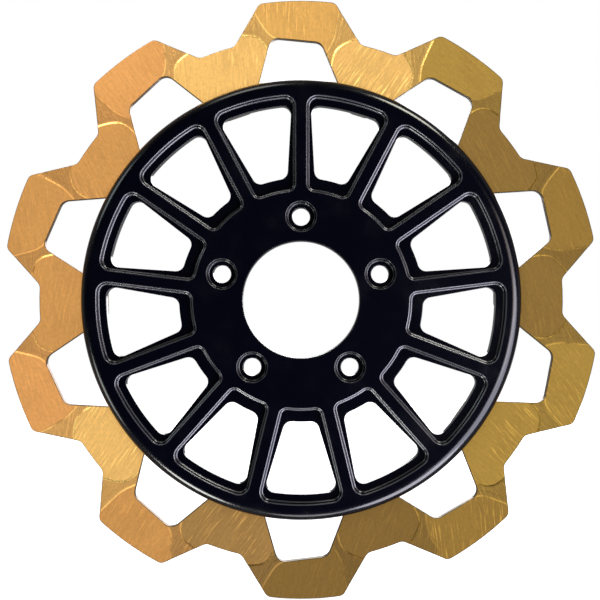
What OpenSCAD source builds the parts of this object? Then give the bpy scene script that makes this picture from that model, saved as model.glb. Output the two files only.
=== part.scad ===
// Two-piece brake disc rotor: a spoked carrier bolted to the wheel hub, and a lobed brake ring
// that floats on ten drive bushes behind the carrier's rim.
// Shapes are drawn face up, with z = 0 at the plane where the carrier's back meets the ring,
// and face_front() then turns the front towards -Y with the axis along Y.

/* [Brake ring] */
// Diameter over the lobes
ring_d = 300; // [296:0.5:304]
// Diameter at the bottom of the valleys between the lobes
valley_d = 262.6; // [260:0.2:266]
// Thickness of the ring
ring_t = 5; // [4.5:0.1:6]
// Number of lobes, windows and tabs
lobes = 10; // [10:1:10]
// Half the angle that a lobe's outer arc spans
lobe_half = 7.3; // [6.5:0.1:8]
// Angle from a lobe's middle to where the valley starts
valley_half = 14; // [13:0.5:15]
// Radius of each window's high outer corner, beside a wide tab
window_high_r = 132.4; // [130:0.2:133]
// Angle of that corner from the lobe's middle
window_high_half = 5.8; // [5:0.1:6.2]
// Radius of each window's low outer corner, beside a narrow tab
window_low_r = 129.5; // [127:0.5:131]
// Angle of that corner from the lobe's middle
window_low_half = 5.2; // [4.6:0.1:5.8]
// Radius of the tabs' flat ends
tab_end_r = 97; // [96.4:0.2:98]
// Half the width of a wide tab at its end
tab_wide_half = 6.7; // [6:0.1:7]
// Half the width of a narrow tab at its end
tab_narrow_half = 4.4; // [4.2:0.1:5]
// Diameter inside which the tabs' backs are stepped down from the braking band
tab_step_d = 224; // [222:0.5:226]
// Height of that step
tab_step = 0.2; // [0.1:0.05:0.4]
// How far the ring is clocked round from the carrier's top spoke
ring_turn = 0.75; // [0:0.25:3]
// Radius of the cutter that mills the reliefs in the ring's legs
relief_cutter_r = 3.5; // [3:0.5:5]
// Depth of those reliefs
relief_depth = 0.8; // [0.4:0.1:1.5]

/* [Carrier] */
// Outside diameter of the carrier
carrier_d = 219.4; // [217:0.2:221]
// Thickness of the carrier
carrier_t = 9.5; // [9:0.5:12]
// Diameter of the pad on the carrier's back that bears on the wheel hub
hub_pad_d = 104; // [100:1:106]
// How far that pad stands proud
hub_pad_h = 0.5; // [0.3:0.1:0.8]
// Radius that rounds the front edge of the rim
rim_round = 5.5; // [3:0.5:6]
// Number of spokes and of windows between them
spokes = 13; // [13:1:13]
// Radius of the through windows' outer edge
hole_outer_r = 96.7; // [95:0.1:97]
// Radius of the through windows' inner edge
hole_inner_r = 60.6; // [58:0.2:62]
// Radius of the pockets' outer edge
pocket_outer_r = 101; // [99:0.5:101]
// Radius of the pockets' inner edge
pocket_inner_r = 54.4; // [54:0.2:56]
// Depth of the pockets round the windows
pocket_depth = 3; // [2:0.5:4]
// Half the width of a spoke at its front face
spoke_half = 3.4; // [3:0.2:4]
// Half the width of a spoke at its outer end, behind the pockets
spoke_back_outer = 4.8; // [4.2:0.2:6]
// Half the width of a spoke at its inner end, behind the pockets
spoke_back_inner = 6.8; // [6:0.2:7]

/* [Hub fixing] */
// Diameter of the hub bore
bore_d = 58; // [56:0.5:60]
// Pitch circle diameter of the hub bolts
bolt_pcd = 82.55; // [82:0.05:84]
// Number of hub bolts
bolts = 5; // [5:1:5]
// Diameter of the hub bolt holes
bolt_hole_d = 8.8; // [8.4:0.1:9.2]
// Diameter of the counterbores for the bolt heads
counterbore_d = 15; // [14:0.5:16]
// Depth of the counterbores
counterbore_depth = 3.5; // [2:0.5:5]

/* [Floating drive] */
// Radius of the circle that the drive bushes sit on
drive_r = 104; // [103.8:0.1:104.4]
// Outside diameter of a drive bush
bush_d = 8.5; // [8:0.1:9]
// Depth that a bush is pressed into the carrier
bush_seat = 2; // [1.5:0.25:2.5]
// Gap all round between a bush and its hole in the ring
bush_gap = 0.5; // [0.4:0.05:0.6]
// Working height of a wave washer
wave_h = 1.2; // [1:0.1:1.4]
// Thickness of a wave washer's strip
wave_strip = 0.4; // [0.3:0.05:0.5]
// Diameter of the retaining washers
washer_d = 12.6; // [12:0.2:13]
// Thickness of the retaining washers
washer_t = 1; // [0.8:0.1:1.2]
// Thread diameter of the ring screws
screw_d = 5; // [4:0.5:5]
// Diameter of the ring screws' heads
head_d = 9.5; // [8.5:0.5:10]
// Height of the ring screws' heads
head_h = 2.75; // [2.5:0.25:3]
// Depth of the tapped holes in the carrier
tap_depth = 5.5; // [5:0.5:6]

/* [Hidden] */
$fn = 96;
rim_facets = 180;                          // facets round the carrier
screw_facets = 48;
corner_steps = 6;                          // steps round each corner of an outline
round_steps = 10;                          // steps over the rim's edge and a screw's head
lobe_gap = 5;                              // gap between points along the ring's arcs
waves = 3;                                 // waves in each wave washer
wave_steps = 36;
wave_inset = 0.2;                          // a wave washer's rim inside the flat washer's
wave_bore_gap = 0.35;                      // gap between a wave washer and its bush
cut = 1;                                   // how far a cutting shape runs past a face
slack = 0.05;                              // gap round a screw in its hole

lobe_pitch = 360 / lobes;
spoke_pitch = 360 / spokes;
lobe_round = 4;
valley_round = 4.5;
window_round = 5;
tab_round = 3;
hole_round = 4.3;
pocket_round_outer = 5;
pocket_round_inner = 3.6;
bore_chamfer = 0.5;
back_chamfer = 0.5;

washer_bore_r = screw_d / 2 + 2 * slack;
socket_d = 3.3;
socket_depth = 1.6;

// Heights of the parts stacked behind the carrier
tab_back = tab_step - ring_t;
washer_front = tab_back - wave_h;
head_front = washer_front - washer_t;

// The two reliefs milled across each leg, from the outer edge to the window's corner
relief_high = [[27.5, 142.2], [7.5, 128.2]];
relief_low = [[32, 134.8], [12, 127.6]];

// Name of one of a row of equal parts
function numbered(name, i) = str(name, i < 10 ? "_0" : "_", i);

// Direction at an angle, and a vector's own direction
function at(a) = [cos(a), sin(a)];
function unit(v) = v / norm(v);

// Arc of radius r that rounds the corner b between its neighbours a and c
function corner(a, b, c, r) = r == 0 ? [b] : let (
    u = unit(a - b),
    v = unit(c - b),
    half = acos(u * v) / 2,
    centre = b + unit(u + v) * r / sin(half),
    from = b + u * r / tan(half) - centre,
    to = b + v * r / tan(half) - centre,
    start = atan2(from.y, from.x),
    turn = (atan2(to.y, to.x) - start + 540) % 360 - 180
) [for (i = [0:corner_steps]) centre + r * at(start + turn * i / corner_steps)];

// Outline through points given as [radius, angle, corner radius]
function outline(polar) = let (
    n = len(polar),
    p = [for (q = polar) q[0] * at(q[1])]
) [for (i = [0:n - 1]) each corner(p[(i + n - 1) % n], p[i], p[(i + 1) % n], polar[i][2])];

// Plain points about gap apart along an arc, leaving out its two ends
function between(r, a0, a1, gap) = let (
    steps = floor(r * abs(a1 - a0) * PI / 180 / gap)
) [for (i = [1:1:steps - 1]) [r, a0 + (a1 - a0) * i / steps, 0]];

function lobe_angle(i) = 90 + ring_turn + i * lobe_pitch;
function tab_angle(i) = lobe_angle(i) + lobe_pitch / 2;

// Outer edge of the brake ring: a lobe, then the valley after it
ring_edge = [for (i = [0:lobes - 1]) let (a = lobe_angle(i)) each concat(
    [[valley_d / 2, a - valley_half, valley_round], [ring_d / 2, a - lobe_half, lobe_round]],
    between(ring_d / 2, a - lobe_half, a + lobe_half, lobe_gap),
    [[ring_d / 2, a + lobe_half, lobe_round], [valley_d / 2, a + valley_half, valley_round]],
    between(valley_d / 2, a + valley_half, a + lobe_pitch - valley_half, lobe_gap))];

// One window from its narrow tab round to its wide tab, at angles from the lobe's middle
tab_half = lobe_pitch / 2;
window_edge = [
    [norm([tab_end_r, tab_narrow_half]), atan(tab_narrow_half / tab_end_r) - tab_half, tab_round],
    [window_low_r, -window_low_half, window_round],
    [window_high_r, window_high_half, window_round],
    [norm([tab_end_r, tab_wide_half]), tab_half - atan(tab_wide_half / tab_end_r), tab_round]];

// Inner edge of the brake ring: every other window is the mirror image of the one before
ring_inside = [for (i = [0:lobes - 1], k = [0:3]) let (
    flip = i % 2,
    q = window_edge[flip ? 3 - k : k]
) [q[0], lobe_angle(i) + (flip ? -q[1] : q[1]), q[2]]];

// Space between two spokes whose sides stand off the spokes' middle lines
function bay(inner_r, outer_r, inner_off, outer_off, inner_round, outer_round) = let (
    a = spoke_pitch / 2 - asin(inner_off / inner_r),
    b = spoke_pitch / 2 - asin(outer_off / outer_r)
) outline(concat(
    [[outer_r, -b, outer_round]], between(outer_r, -b, b, 1.2 * outer_round), [[outer_r, b, outer_round]],
    [[inner_r, a, inner_round]], between(inner_r, a, -a, 1.2 * inner_round), [[inner_r, -a, inner_round]]));

module face_front() {
    rotate([90, 0, 0]) children();
}

// Copies a shape to every drive bush's place
module at_drive(i) {
    rotate(tab_angle(i)) translate([drive_r, 0, 0]) children();
}

module tube(outer_r, inner_r, low, high) {
    translate([0, 0, low]) difference() {
        cylinder(r = outer_r, h = high - low);
        translate([0, 0, -cut]) cylinder(r = inner_r, h = high - low + 2 * cut);
    }
}

// Disc of the carrier, with its bore and its rounded rim
module carrier_blank() {
    rim_r = carrier_d / 2;
    bore_r = bore_d / 2;
    pad_r = hub_pad_d / 2;
    rotate_extrude($fn = rim_facets) polygon(concat(
        [[bore_r, -hub_pad_h], [pad_r, -hub_pad_h], [pad_r, 0],
            [rim_r - back_chamfer, 0], [rim_r, back_chamfer]],
        [for (i = [0:round_steps]) [rim_r - rim_round, carrier_t - rim_round]
            + rim_round * at(90 * i / round_steps)],
        [[bore_r + bore_chamfer, carrier_t], [bore_r, carrier_t - bore_chamfer]]));
}

module hub_holes() {
    for (i = [0:bolts - 1]) rotate(90 + i * 360 / bolts) translate([bolt_pcd / 2, 0, 0]) {
        translate([0, 0, -cut]) cylinder(d = bolt_hole_d, h = carrier_t + 2 * cut);
        translate([0, 0, carrier_t - counterbore_depth]) cylinder(d = counterbore_d, h = carrier_t);
    }
}

module spoke_windows() {
    for (i = [0:spokes - 1]) rotate(90 + (i + 0.5) * spoke_pitch) {
        translate([0, 0, -cut]) linear_extrude(carrier_t + 2 * cut) polygon(
            bay(hole_inner_r, hole_outer_r, spoke_back_inner, spoke_back_outer, hole_round, hole_round));
        translate([0, 0, carrier_t - pocket_depth]) linear_extrude(carrier_t) polygon(
            bay(pocket_inner_r, pocket_outer_r, spoke_half, spoke_half,
                pocket_round_inner, pocket_round_outer));
    }
}

module carrier() {
    color("#17191f") face_front() difference() {
        carrier_blank();
        hub_holes();
        spoke_windows();
        for (i = [0:lobes - 1]) at_drive(i) {
            translate([0, 0, -cut]) cylinder(d = bush_d, h = cut + bush_seat);
            translate([0, 0, -cut]) cylinder(d = screw_d, h = cut + tap_depth, $fn = screw_facets);
        }
    }
}

// Round-bottomed groove cut into the front of the ring along a straight line
module relief(line) {
    run = line[1] - line[0];
    translate([line[0].x, line[0].y, relief_cutter_r - relief_depth])
        rotate(atan2(run.y, run.x)) rotate([0, 90, 0]) cylinder(r = relief_cutter_r, h = norm(run));
}

module brake_ring() {
    color("#c79a52") face_front() difference() {
        translate([0, 0, -ring_t]) linear_extrude(ring_t) difference() {
            polygon(outline(ring_edge));
            polygon(outline(ring_inside));
        }
        translate([0, 0, -ring_t - cut]) cylinder(d = tab_step_d, h = cut + tab_step, $fn = rim_facets);
        for (i = [0:lobes - 1]) at_drive(i) translate([0, 0, -ring_t - cut])
            cylinder(r = bush_d / 2 + bush_gap, h = ring_t + 2 * cut);
        for (i = [0:lobes - 1], side = [0, 1]) rotate(lobe_angle(i) - 90) mirror([side, 0, 0]) {
            relief(relief_high);
            relief(relief_low);
        }
    }
}

module drive_bush(i) {
    color("silver") face_front() at_drive(i)
        tube(bush_d / 2, washer_bore_r, washer_front, bush_seat);
}

// Four corners of the wave washer's strip at one angle
function strip(a) = let (
    middle = tab_back - wave_h / 2,
    rise = (wave_h - wave_strip) / 2 - slack / 2,
    z = middle + rise * cos(waves * a),
    inner = bush_d / 2 + wave_bore_gap,
    outer = washer_d / 2 - wave_inset
) [for (q = [[inner, -1], [outer, -1], [outer, 1], [inner, 1]])
    [q[0] * cos(a), q[0] * sin(a), z + q[1] * wave_strip / 2]];

module wave_washer(i) {
    points = [for (k = [0:wave_steps - 1]) each strip(k * 360 / wave_steps)];
    count = len(points);
    faces = [for (k = [0:wave_steps - 1], j = [0:3]) let (
        a = 4 * k + j,
        b = 4 * k + (j + 1) % 4,
        c = (4 * k + 4 + (j + 1) % 4) % count,
        d = (4 * k + 4 + j) % count
    ) each [[a, c, b], [a, d, c]]];
    color("slategray") face_front() at_drive(i) polyhedron(points = points, faces = faces);
}

module retaining_washer(i) {
    color("gainsboro") face_front() at_drive(i)
        tube(washer_d / 2, washer_bore_r, head_front, washer_front);
}

// Button-head screw, entered from the back
module ring_screw() {
    dome_r = (head_d * head_d / 4 + head_h * head_h) / (2 * head_h);
    top_angle = asin(head_d / 2 / dome_r);
    dome = [for (k = [round_steps:-1:0]) let (a = 90 - top_angle * k / round_steps)
        [dome_r * cos(a), head_front - head_h + dome_r - dome_r * sin(a)]];
    difference() {
        rotate_extrude($fn = screw_facets) polygon(concat([[0, head_front]], dome));
        translate([0, 0, head_front - head_h - cut])
            cylinder(d = socket_d, h = cut + socket_depth, $fn = 6);
    }
    translate([0, 0, head_front])
        cylinder(r = screw_d / 2 - slack, h = tap_depth - cut - head_front, $fn = screw_facets);
}

module ring_screws() {
    color("dimgray") face_front() for (i = [0:lobes - 1]) at_drive(i) ring_screw();
}

carrier();
brake_ring();
for (i = [0:lobes - 1]) {
    drive_bush(i);
    wave_washer(i);
    retaining_washer(i);
}
ring_screws();
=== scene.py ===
import math
import bmesh
import bpy
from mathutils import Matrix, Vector
from mathutils.geometry import delaunay_2d_cdt


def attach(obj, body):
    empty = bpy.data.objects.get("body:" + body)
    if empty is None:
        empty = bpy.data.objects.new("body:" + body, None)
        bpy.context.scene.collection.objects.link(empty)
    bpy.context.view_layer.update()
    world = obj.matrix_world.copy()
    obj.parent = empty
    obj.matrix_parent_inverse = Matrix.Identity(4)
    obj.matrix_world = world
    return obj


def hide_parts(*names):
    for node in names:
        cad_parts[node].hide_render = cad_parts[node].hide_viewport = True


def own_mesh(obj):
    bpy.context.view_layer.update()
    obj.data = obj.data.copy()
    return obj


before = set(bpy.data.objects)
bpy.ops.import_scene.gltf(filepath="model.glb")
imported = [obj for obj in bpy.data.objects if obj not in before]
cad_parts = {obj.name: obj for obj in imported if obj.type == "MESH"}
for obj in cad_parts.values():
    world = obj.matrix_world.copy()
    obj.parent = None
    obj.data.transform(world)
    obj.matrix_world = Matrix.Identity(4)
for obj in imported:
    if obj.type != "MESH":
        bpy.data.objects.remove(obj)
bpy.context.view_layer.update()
scene = bpy.context.scene
scene.view_settings.view_transform = "Standard"

# Shapes are drawn lying face up in millimetres, with z = 0 where the carrier's back meets the ring.
# Each is stood up at the end, so that its front looks to -Y and its sizes are in metres.
millimetre = 0.001
tiny = 1e-5


cameraSetup = {
    "distance": 0.66,      # from the ring's front face
    "seenWidth": 0.3009,   # width seen at the ring's front face
    "sensor": 36.0,
    "across": -0.00055,
    "up": -0.0001,
    "nearest": 0.01,       # nothing nearer than this is drawn
}


def placeCamera(setup):
    data = bpy.data.cameras.new("camera")
    data.sensor_width = setup["sensor"]
    data.lens = setup["sensor"] * setup["distance"] / setup["seenWidth"]
    data.clip_start = setup["nearest"]
    camera = bpy.data.objects.new("camera", data)
    camera.location = (setup["across"], -setup["distance"], setup["up"])
    camera.rotation_euler = (math.pi / 2, 0, 0)
    scene.collection.objects.link(camera)
    scene.camera = camera


placeCamera(cameraSetup)
print("camera placed")


def polar(radius, degrees):
    a = math.radians(degrees)
    return Vector((radius * math.cos(a), radius * math.sin(a)))


def leftOf(v):
    return Vector((-v.y, v.x))


# Arc that rounds the corner at tip
def roundCorner(before, tip, after, radius, steps=7):
    u, v = (before - tip).normalized(), (after - tip).normalized()
    half = u.angle(v) / 2
    centre = tip + (u + v).normalized() * radius / math.sin(half)
    first = tip + u * radius / math.tan(half) - centre
    last = tip + v * radius / math.tan(half) - centre
    return arcAround(centre, first, last, steps)


# Points round a centre, the short way from the first spoke to the last
def arcAround(centre, first, last, steps):
    start = math.atan2(first.y, first.x)
    turn = (math.atan2(last.y, last.x) - start + 3 * math.pi) % (2 * math.pi) - math.pi
    radius = first.length
    return [centre + polar(radius, math.degrees(start + turn * i / steps)) for i in range(steps + 1)]


def circle(radius, count, centre=(0, 0)):
    c = Vector(centre)
    return [c + polar(radius, 360 * i / count) for i in range(count)]


# Straight pieces of a path cut up so that none is longer than gap
def spread(path, gap):
    out = [path[0]]
    for a, b in zip(path, path[1:]):
        n = max(1, math.ceil((b - a).length / gap))
        out += [a.lerp(b, k / n) for k in range(1, n + 1)]
    return out


# Smooth curve through a few points, sampled about gap apart, run on a little past both ends
def smoothCurve(points, gap, past):
    p = [Vector(q) for q in points]
    p = [p[0] + (p[0] - p[1]).normalized() * past] + p + [p[-1] + (p[-1] - p[-2]).normalized() * past]
    p = [2 * p[0] - p[1]] + p + [2 * p[-1] - p[-2]]
    out = []
    for a, b, c, d in zip(p, p[1:], p[2:], p[3:]):
        n = max(1, round((c - b).length / gap))
        for k in range(n):
            t = k / n
            out.append(0.5 * (2 * b + (c - a) * t + (2 * a - 5 * b + 4 * c - d) * t * t
                              + (3 * b - a - 3 * c + d) * t ** 3))
    return out + [p[-2]]


# Distance from a curve, positive on its left side
def besideCurve(curve, point):
    best, side = math.inf, 1
    for a, b in zip(curve, curve[1:]):
        run = b - a
        t = max(0, min(1, (point - a).dot(run) / run.length_squared))
        off = point - (a + run * t)
        if off.length < best:
            best, side = off.length, 1 if leftOf(run).dot(point - a) >= 0 else -1
    return best * side


# A closed shape built up from loops and flat faces, all sewn together at the end
class Shell:
    def __init__(self):
        self.points, self.faces = [], []

    def strip(self, lower, upper, closed=True):
        n, base = len(lower), len(self.points)
        self.points += list(lower) + list(upper)
        for i in range(n if closed else n - 1):
            j = (i + 1) % n
            self.faces.append((base + i, base + j, base + n + j, base + n + i))

    def stack(self, loops, closed=True):
        for lower, upper in zip(loops, loops[1:]):
            self.strip(lower, upper, closed)

    def cap(self, loop):
        base = len(self.points)
        self.points += list(loop)
        self.faces.append(tuple(range(base, base + len(loop))))

    # Flat or gently shaped face inside an outline, with holes and loose points, at height(point)
    def sheet(self, outline, holes, height, loose=()):
        flat, loops = list(outline), [list(range(len(outline)))]
        for hole in holes:
            loops.append(list(range(len(flat), len(flat) + len(hole))))
            flat += hole
        flat += list(loose)
        keep = 2 if holes else 1      # 1 keeps what is inside, 2 also cuts out the holes
        found = delaunay_2d_cdt(flat, [], loops, keep, tiny)
        base = len(self.points)
        self.points += [(p.x, p.y, height(p)) for p in found[0]]
        self.faces += [tuple(base + k for k in f) for f in found[2]]

    def mesh(self, name, sew=0.002):
        mesh = bpy.data.meshes.new(name)
        mesh.from_pydata([tuple(p) for p in self.points], [], self.faces)
        bm = bmesh.new()
        bm.from_mesh(mesh)
        bmesh.ops.remove_doubles(bm, verts=bm.verts, dist=sew)
        bmesh.ops.dissolve_degenerate(bm, edges=bm.edges, dist=tiny)
        bm.to_mesh(mesh)
        bm.free()
        return mesh


def lifted(loop, z):
    return [(p.x, p.y, z) for p in loop]


# Loops of a turned shape from its (radius, height) profile
def turned(profile, count, centre=(0, 0)):
    return [lifted(circle(r, count, centre), z) for r, z in profile]


# Quarter-round steps from flat to upright: (share in, share down)
def quarterRound(steps):
    turns = [math.pi / 2 * k / steps for k in range(steps + 1)]
    return [(1 - math.sin(a), 1 - math.cos(a)) for a in turns]


def helperObject(name, mesh):
    helper = bpy.data.objects.new(name, mesh)
    scene.collection.objects.link(helper)
    return helper


# Adds a node, fills it in, and gives one of its outputs, or the node itself for None
def addNode(tree, kind, values=None, output=0, **facts):
    n = tree.nodes.new(kind)
    for key, value in facts.items():
        setattr(n, key, value)
    for key, value in (values or {}).items():
        socket = n.inputs[key]
        if isinstance(value, bpy.types.NodeSocket):
            tree.links.new(value, socket)
        else:
            socket.default_value = value
    return n if output is None else n.outputs[output]


def maths(tree, operation, a, b=0.0, clamp=False):
    return addNode(tree, "ShaderNodeMath", {0: a, 1: b}, operation=operation, use_clamp=clamp)


def times(tree, first, *others):
    for other in others:
        first = maths(tree, "MULTIPLY", first, other)
    return first


def newTree(name, treeKind, inputs, outputs):
    tree = bpy.data.node_groups.new(name, treeKind)
    for label, kind, value in inputs:
        socket = tree.interface.new_socket(label, in_out="INPUT", socket_type="NodeSocket" + kind)
        if value is not None:
            socket.default_value = value
    for label, kind in outputs:
        tree.interface.new_socket(label, in_out="OUTPUT", socket_type="NodeSocket" + kind)
    start, end = tree.nodes.new("NodeGroupInput"), tree.nodes.new("NodeGroupOutput")
    return tree, start.outputs, end.inputs


# Repeats a part round the axis; Mirror 1 turns every other copy into its mirror image
def makeRepeatRound():
    tree, given, result = newTree("repeatRound", "GeometryNodeTree", [
        ("Part", "Object", None), ("Count", "Int", 10), ("First Turn", "Float", 0.0),
        ("Mirror", "Float", 0.0),
    ], [("Copies", "Geometry")])
    part = addNode(tree, "GeometryNodeObjectInfo", {"Object": given["Part"], "As Instance": True}, "Geometry")
    line = addNode(tree, "GeometryNodeMeshLine", {"Count": given["Count"], "Offset": (0, 0, 0)})
    index = addNode(tree, "GeometryNodeInputIndex")
    pitch = maths(tree, "DIVIDE", 2 * math.pi, given["Count"])
    turn = maths(tree, "ADD", times(tree, index, pitch), given["First Turn"])
    odd = times(tree, maths(tree, "MODULO", index, 2.0), given["Mirror"])
    flip = maths(tree, "SUBTRACT", 1.0, times(tree, odd, 2.0))
    copies = addNode(tree, "GeometryNodeInstanceOnPoints", {
        "Points": line, "Instance": part, "Rotation": addNode(tree, "ShaderNodeCombineXYZ", {"Z": turn}),
        "Scale": addNode(tree, "ShaderNodeCombineXYZ", {"X": flip, "Y": 1.0, "Z": 1.0}),
    })
    real = addNode(tree, "GeometryNodeRealizeInstances", {"Geometry": copies})
    tree.links.new(real, result["Copies"])
    return tree


repeatRound = makeRepeatRound()

# What a piece's tree asks for in each of its rows: name after the row's own, kind, first value
rowInputs = (("", "Object", None), (" Count", "Int", 1), (" First Turn", "Float", 0.0),
             (" Mirror", "Float", 0.0))


# Tree that joins rows of repeated parts, sews them, stands them up and gives them their material
def makePieceTree(name, rows):
    inputs = [(row + label, kind, value) for row in rows for label, kind, value in rowInputs]
    inputs += [("Sewing Distance", "Float", 0.004), ("Scale", "Float", millimetre),
               ("Material", "Material", None)]
    tree, given, result = newTree(name, "GeometryNodeTree", inputs, [("Piece", "Geometry")])
    join = tree.nodes.new("GeometryNodeJoinGeometry")
    for row in rows:
        values = {label.strip() or "Part": given[row + label] for label, kind, value in rowInputs}
        copies = addNode(tree, "GeometryNodeGroup", values, node_tree=repeatRound)
        tree.links.new(copies, join.inputs[0])
    sewn = addNode(tree, "GeometryNodeMergeByDistance",
                   {"Geometry": join.outputs[0], "Distance": given["Sewing Distance"]})
    size = addNode(tree, "ShaderNodeCombineXYZ", {axis: given["Scale"] for axis in "XYZ"})
    upright = addNode(tree, "GeometryNodeTransform",
                      {"Geometry": sewn, "Rotation": (math.pi / 2, 0, 0), "Scale": size})
    real = addNode(tree, "GeometryNodeRealizeInstances", {"Geometry": upright})
    painted = addNode(tree, "GeometryNodeSetMaterial", {"Geometry": real, "Material": given["Material"]})
    tree.links.new(painted, result["Piece"])
    return tree


# Makes one plain piece: rows maps a row's name to (mesh, count, first turn in degrees, mirror)
def makePiece(name, rows, material, crease=32):
    tree = makePieceTree(name + "Tree", list(rows))
    ids = {s.name: s.identifier for s in tree.interface.items_tree
           if s.item_type == "SOCKET" and s.in_out == "INPUT"}
    holder = helperObject(name + "Holder", bpy.data.meshes.new(name + "Holder"))
    modifier = holder.modifiers.new("shape", "NODES")
    modifier.node_group = tree
    parts = []
    for row, (mesh, count, firstTurn, mirror) in rows.items():
        parts.append(helperObject(name + row.replace(" ", ""), mesh))
        values = (parts[-1], count, math.radians(firstTurn), mirror)
        for (label, kind, first), value in zip(rowInputs, values):
            modifier[ids[row + label]] = value
    modifier[ids["Material"]] = material
    bpy.context.view_layer.update()
    shaped = holder.evaluated_get(bpy.context.evaluated_depsgraph_get())
    mesh = bpy.data.meshes.new_from_object(shaped)
    mesh.name = name
    for helper in parts + [holder]:
        bpy.data.objects.remove(helper)
    bm = bmesh.new()
    bm.from_mesh(mesh)
    bmesh.ops.recalc_face_normals(bm, faces=bm.faces)
    loose = [e for e in bm.edges if not e.is_manifold]
    bm.to_mesh(mesh)
    bm.free()
    mesh.shade_smooth()
    mesh.set_sharp_from_angle(angle=math.radians(crease))
    piece = helperObject(name, mesh)
    print(name, "made:", len(mesh.polygons), "faces,", len(loose), "open edges")
    return piece


def linear(r, g, b):
    def one(c):
        c /= 255
        return c / 12.92 if c <= 0.04045 else ((c + 0.055) / 1.055) ** 2.4
    return (one(r), one(g), one(b), 1.0)


def ranged(tree, value, low, high, toLow=0.0, toHigh=1.0, smooth=True):
    return addNode(tree, "ShaderNodeMapRange", {
        "Value": value, "From Min": low, "From Max": high, "To Min": toLow, "To Max": toHigh,
    }, interpolation_type="SMOOTHSTEP" if smooth else "LINEAR")


def mixed(tree, share, a, b, blend="MIX"):
    return addNode(tree, "ShaderNodeMix", {0: share, 6: a, 7: b}, 2, data_type="RGBA", blend_type=blend)


# Fine lines left by brushing, running along the direction that Turn gives from upright
def makeBrushMarks():
    tree, given, result = newTree("brushMarks", "ShaderNodeTree", [
        ("Vector", "Vector", None), ("Turn", "Float", 0.0), ("Lines", "Float", 900.0),
        ("Length", "Float", 16.0), ("Cut", "Float", 0.5), ("Contrast", "Float", 6.0),
    ], [("Marks", "Float"), ("Strong Marks", "Float")])
    spin = addNode(tree, "ShaderNodeCombineXYZ", {"Y": given["Turn"]})
    along = maths(tree, "DIVIDE", given["Lines"], given["Length"])
    scale = addNode(tree, "ShaderNodeCombineXYZ", {"X": given["Lines"], "Y": along, "Z": along})
    aligned = addNode(tree, "ShaderNodeMapping", {"Vector": given["Vector"], "Rotation": spin})
    placed = addNode(tree, "ShaderNodeVectorMath", {0: aligned, 1: scale}, operation="MULTIPLY")
    noise = addNode(tree, "ShaderNodeTexNoise",
                    {"Vector": placed, "Scale": 1.0, "Detail": 3.0, "Roughness": 0.6})
    tree.links.new(noise, result["Marks"])
    over = maths(tree, "SUBTRACT", noise, given["Cut"])
    tree.links.new(maths(tree, "MULTIPLY", over, given["Contrast"], clamp=True), result["Strong Marks"])
    return tree


# Soft blotches, as dust, handling or an uneven coat leaves them
def makeMottle():
    tree, given, result = newTree("mottle", "ShaderNodeTree", [
        ("Vector", "Vector", None), ("Size", "Float", 0.01), ("Low", "Float", 0.35), ("High", "Float", 0.65),
    ], [("Value", "Float")])
    scale = maths(tree, "DIVIDE", 1.0, given["Size"])
    noise = addNode(tree, "ShaderNodeTexNoise",
                    {"Vector": given["Vector"], "Scale": scale, "Detail": 4.0, "Roughness": 0.55})
    tree.links.new(ranged(tree, noise, given["Low"], given["High"]), result["Value"])
    return tree


brushMarks = makeBrushMarks()
mottle = makeMottle()


def brushed(tree, coords, turn, lines, length, cut=0.5):
    values = {"Vector": coords, "Turn": turn, "Lines": lines, "Length": length, "Cut": cut}
    return addNode(tree, "ShaderNodeGroup", values, None, node_tree=brushMarks).outputs


def blotches(tree, coords, size, low, high):
    return addNode(tree, "ShaderNodeGroup", {"Vector": coords, "Size": size, "Low": low, "High": high},
                   node_tree=mottle)


def marked(tree, name, output="Fac"):
    return addNode(tree, "ShaderNodeAttribute", None, output, attribute_name=name)


def newMaterial(name, **sockets):
    material = bpy.data.materials.new(name)
    material.use_nodes = True
    tree = material.node_tree
    shader = tree.nodes["Principled BSDF"]
    for key, value in sockets.items():
        shader.inputs[key.replace("_", " ")].default_value = value
    return material, tree, shader, addNode(tree, "ShaderNodeTexCoord", None, "Object")


def feed(tree, shader, **sources):
    for key, source in sources.items():
        tree.links.new(source, shader.inputs[key.replace("_", " ")])


def bumped(tree, height, strength, distance):
    return addNode(tree, "ShaderNodeBump", {"Height": height, "Strength": strength, "Distance": distance})


ringSizes = {
    "lobes": 10, "outerRadius": 150.0, "valleyRadius": 131.3, "lobeHalf": 7.3, "valleyHalf": 14.0,
    "lobeRound": 4.0, "valleyRound": 4.5,
    "highRadius": 132.4, "highHalf": 5.8, "lowRadius": 129.5, "lowHalf": 5.2, "windowRound": 5.0,
    "tabEnd": 97.0, "wideTab": 6.7, "narrowTab": 4.4, "tabRound": 3.0,
    "driveRadius": 104.0, "holeRadius": 4.75,
    "thickness": 5.0, "stepRadius": 112.0, "stepHeight": 0.2, "stepRamp": 0.1, "clocking": 0.75,
    "edge": 0.35, "edgeSteps": 3, "support": 0.15,
    "grooveDepth": 0.42, "outerGroove": 3.9, "innerGroove": 3.5, "islandDepth": 0.22, "islandWobble": 0.08,
    "milledFrom": 0.12,      # a relief this deep shows bare cutter marks
    "cutBand": 0.5, "outerCut": 0.55,
}

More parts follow.
